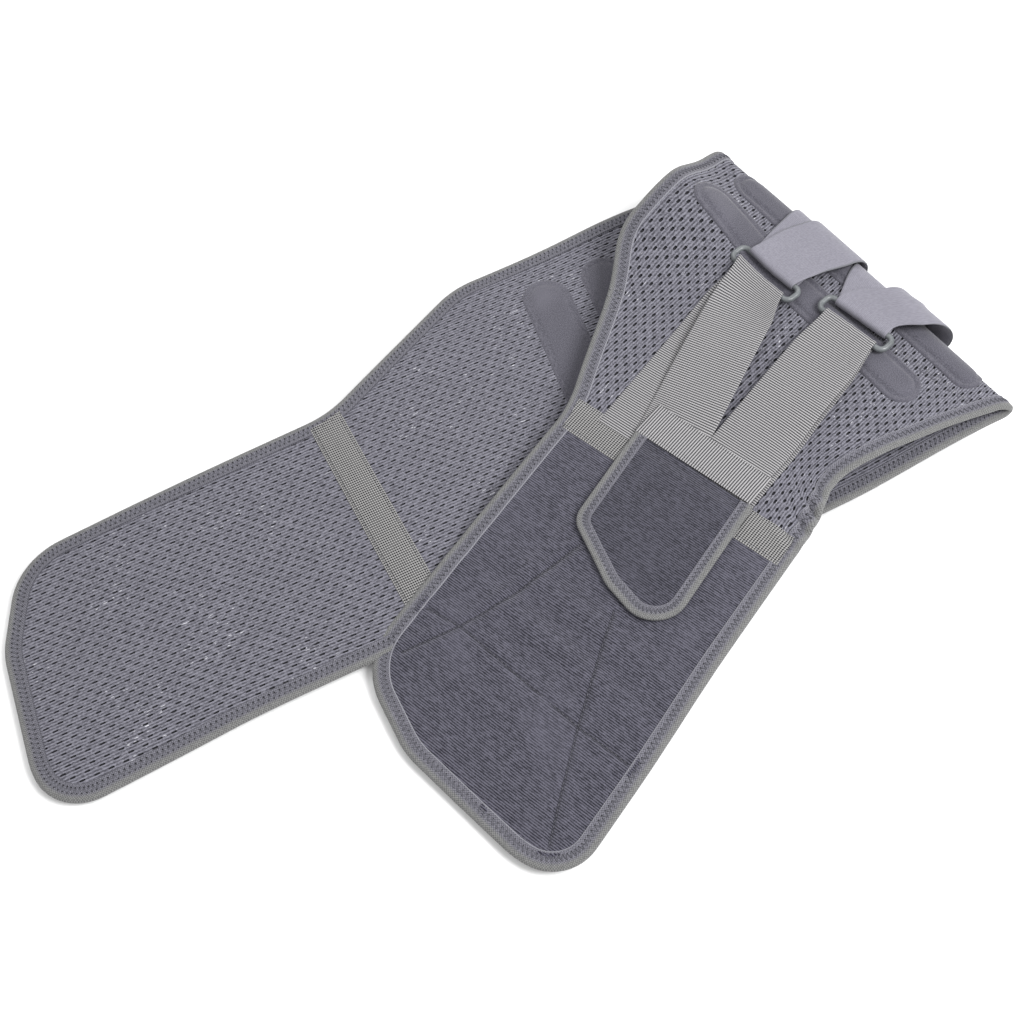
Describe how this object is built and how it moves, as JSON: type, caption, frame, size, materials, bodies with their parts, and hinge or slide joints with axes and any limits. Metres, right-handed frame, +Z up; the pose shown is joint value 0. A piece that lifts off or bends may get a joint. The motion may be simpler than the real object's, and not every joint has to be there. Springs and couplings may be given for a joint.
{
  "type": "lumbar support belt",
  "caption": "Wide fabric lumbar support belt, folded across the back, with elastic straps looped through rectangular rings, pull tabs and hook-and-loop front flaps.",
  "frame": {"origin": "middle of the folded belt's outline, on the surface it lies on", "axes": "+Z up from the surface; +X towards the fold at the middle of the back; +Y towards the belt's top edge, along the fold line"},
  "size_m": [0.6422, 0.3798, 0.0512],
  "materials": {
    "mesh": "knitted spacer mesh, matt",
    "velour": "finely ribbed loop velour",
    "pocket": "brushed velour",
    "binding": "woven tape, zigzag stitched",
    "webbing": "cross-ribbed elastic webbing",
    "elastic": "smooth knitted elastic",
    "hook": "moulded hook tape",
    "ring": "satin moulded plastic",
    "stay": "flexible strip with rounded ends"
  },
  "bodies": {
    "lower_wing": {"lower_back_mesh": "mesh", "fold_mesh": "mesh", "fold_top_binding": "binding", "fold_bottom_binding": "binding", "lower_flap_mesh": "mesh", "lower_flap_velour": "velour", "lower_binding": "binding", "lower_outer_seam_strip": "webbing", "lower_inner_seam_strip": "webbing", "lower_centre_stay": "stay", "lower_side_stay": "stay", "lower_centre_pocket": "pocket", "lower_side_pocket": "pocket", "lower_centre_patch": "pocket", "lower_side_patch": "pocket", "lower_anchor_strap_a": "webbing", "lower_anchor_strap_b": "webbing", "back_strap_a": "elastic", "back_strap_b": "elastic", "cross_strap_a": "elastic", "cross_strap_b": "elastic"},
    "upper_wing": {"upper_back_mesh": "mesh", "upper_flap_mesh": "mesh", "upper_flap_velour": "velour", "upper_binding": "binding", "upper_outer_seam_strip": "webbing", "upper_inner_seam_strip": "webbing", "upper_centre_stay": "stay", "upper_side_stay": "stay", "upper_centre_pocket": "pocket", "upper_side_pocket": "pocket", "upper_centre_patch": "pocket", "upper_side_patch": "pocket", "closure_hook_pad": "hook", "upper_anchor_strap_a": "webbing", "upper_anchor_strap_b": "webbing"},
    "upper_ring_a": {"upper_ring_a": "ring"},
    "upper_ring_b": {"upper_ring_b": "ring"},
    "upper_pull": {"upper_pull_band": "webbing", "upper_pull_strap_a": "webbing", "upper_pull_strap_b": "webbing"},
    "upper_tab": {"upper_tab_face": "velour", "upper_tab_hook_pad": "hook", "upper_tab_binding": "binding"},
    "lower_ring_a": {"lower_ring_a": "ring"},
    "lower_ring_b": {"lower_ring_b": "ring"},
    "lower_pull": {"lower_pull_band": "webbing", "lower_pull_strap_a": "webbing", "lower_pull_strap_b": "webbing"},
    "lower_tab": {"lower_tab_face": "velour", "lower_tab_hook_pad": "hook", "lower_tab_binding": "binding"}
  },
  "joints": [
    {"name": "back_fold", "type": "hinge", "parent": "lower_wing", "child": "upper_wing", "pos_m": [0.29733, 0, 0.02615], "axis": [0, 1, 0], "range_deg": [0, 120], "deforming": ["fold_mesh", "fold_top_binding", "fold_bottom_binding", "back_strap_a", "back_strap_b", "cross_strap_a", "cross_strap_b", "upper_centre_pocket", "upper_centre_patch", "upper_centre_stay"]},
    {"name": "upper_pull_slide", "type": "slide", "parent": "upper_wing", "child": "upper_pull", "axis": [-0.9669, -0.2487, -0.0574], "range_m": [0, 0.04], "deforming": ["upper_pull_strap_a", "upper_pull_strap_b"]},
    {"name": "upper_ring_a_slide", "type": "slide", "parent": "upper_wing", "child": "upper_ring_a", "axis": [-0.9669, -0.2487, -0.0574], "range_m": [0, 0.021], "deforming": ["back_strap_a", "cross_strap_a", "upper_pull_strap_a"]},
    {"name": "upper_ring_b_slide", "type": "slide", "parent": "upper_wing", "child": "upper_ring_b", "axis": [-0.9669, -0.2487, -0.0574], "range_m": [0, 0.021], "deforming": ["back_strap_b", "cross_strap_b", "upper_pull_strap_b"]},
    {"name": "upper_tab_peel", "type": "hinge", "parent": "upper_pull", "child": "upper_tab", "pos_m": [0.10977, -0.03734, 0.03276], "axis": [-0.2483, 0.9686, -0.0147], "range_deg": [0, 110]},
    {"name": "lower_pull_slide", "type": "slide", "parent": "lower_wing", "child": "lower_pull", "axis": [-0.9875, 0.1564, -0.0172], "range_m": [0, 0.04], "deforming": ["lower_pull_strap_a", "lower_pull_strap_b"]},
    {"name": "lower_ring_a_slide", "type": "slide", "parent": "lower_wing", "child": "lower_ring_a", "axis": [-0.9875, 0.1564, -0.0172], "range_m": [0, 0.021], "deforming": ["back_strap_a", "cross_strap_b", "lower_pull_strap_a"]},
    {"name": "lower_ring_b_slide", "type": "slide", "parent": "lower_wing", "child": "lower_ring_b", "axis": [-0.9875, 0.1564, -0.0172], "range_m": [0, 0.021], "deforming": ["back_strap_b", "cross_strap_a", "lower_pull_strap_b"]},
    {"name": "lower_tab_peel", "type": "hinge", "parent": "lower_pull", "child": "lower_tab", "pos_m": [-0.05289, 0.05709, 0.00231], "axis": [-0.1564, -0.9877, -0.0027], "range_deg": [0, 110]}
  ],
  "couplings": [
    {"joint": "upper_ring_a_slide", "follows": "upper_pull_slide", "ratio": 0.5},
    {"joint": "upper_ring_b_slide", "follows": "upper_pull_slide", "ratio": 0.5},
    {"joint": "lower_ring_a_slide", "follows": "lower_pull_slide", "ratio": 0.5},
    {"joint": "lower_ring_b_slide", "follows": "lower_pull_slide", "ratio": 0.5}
  ]
}
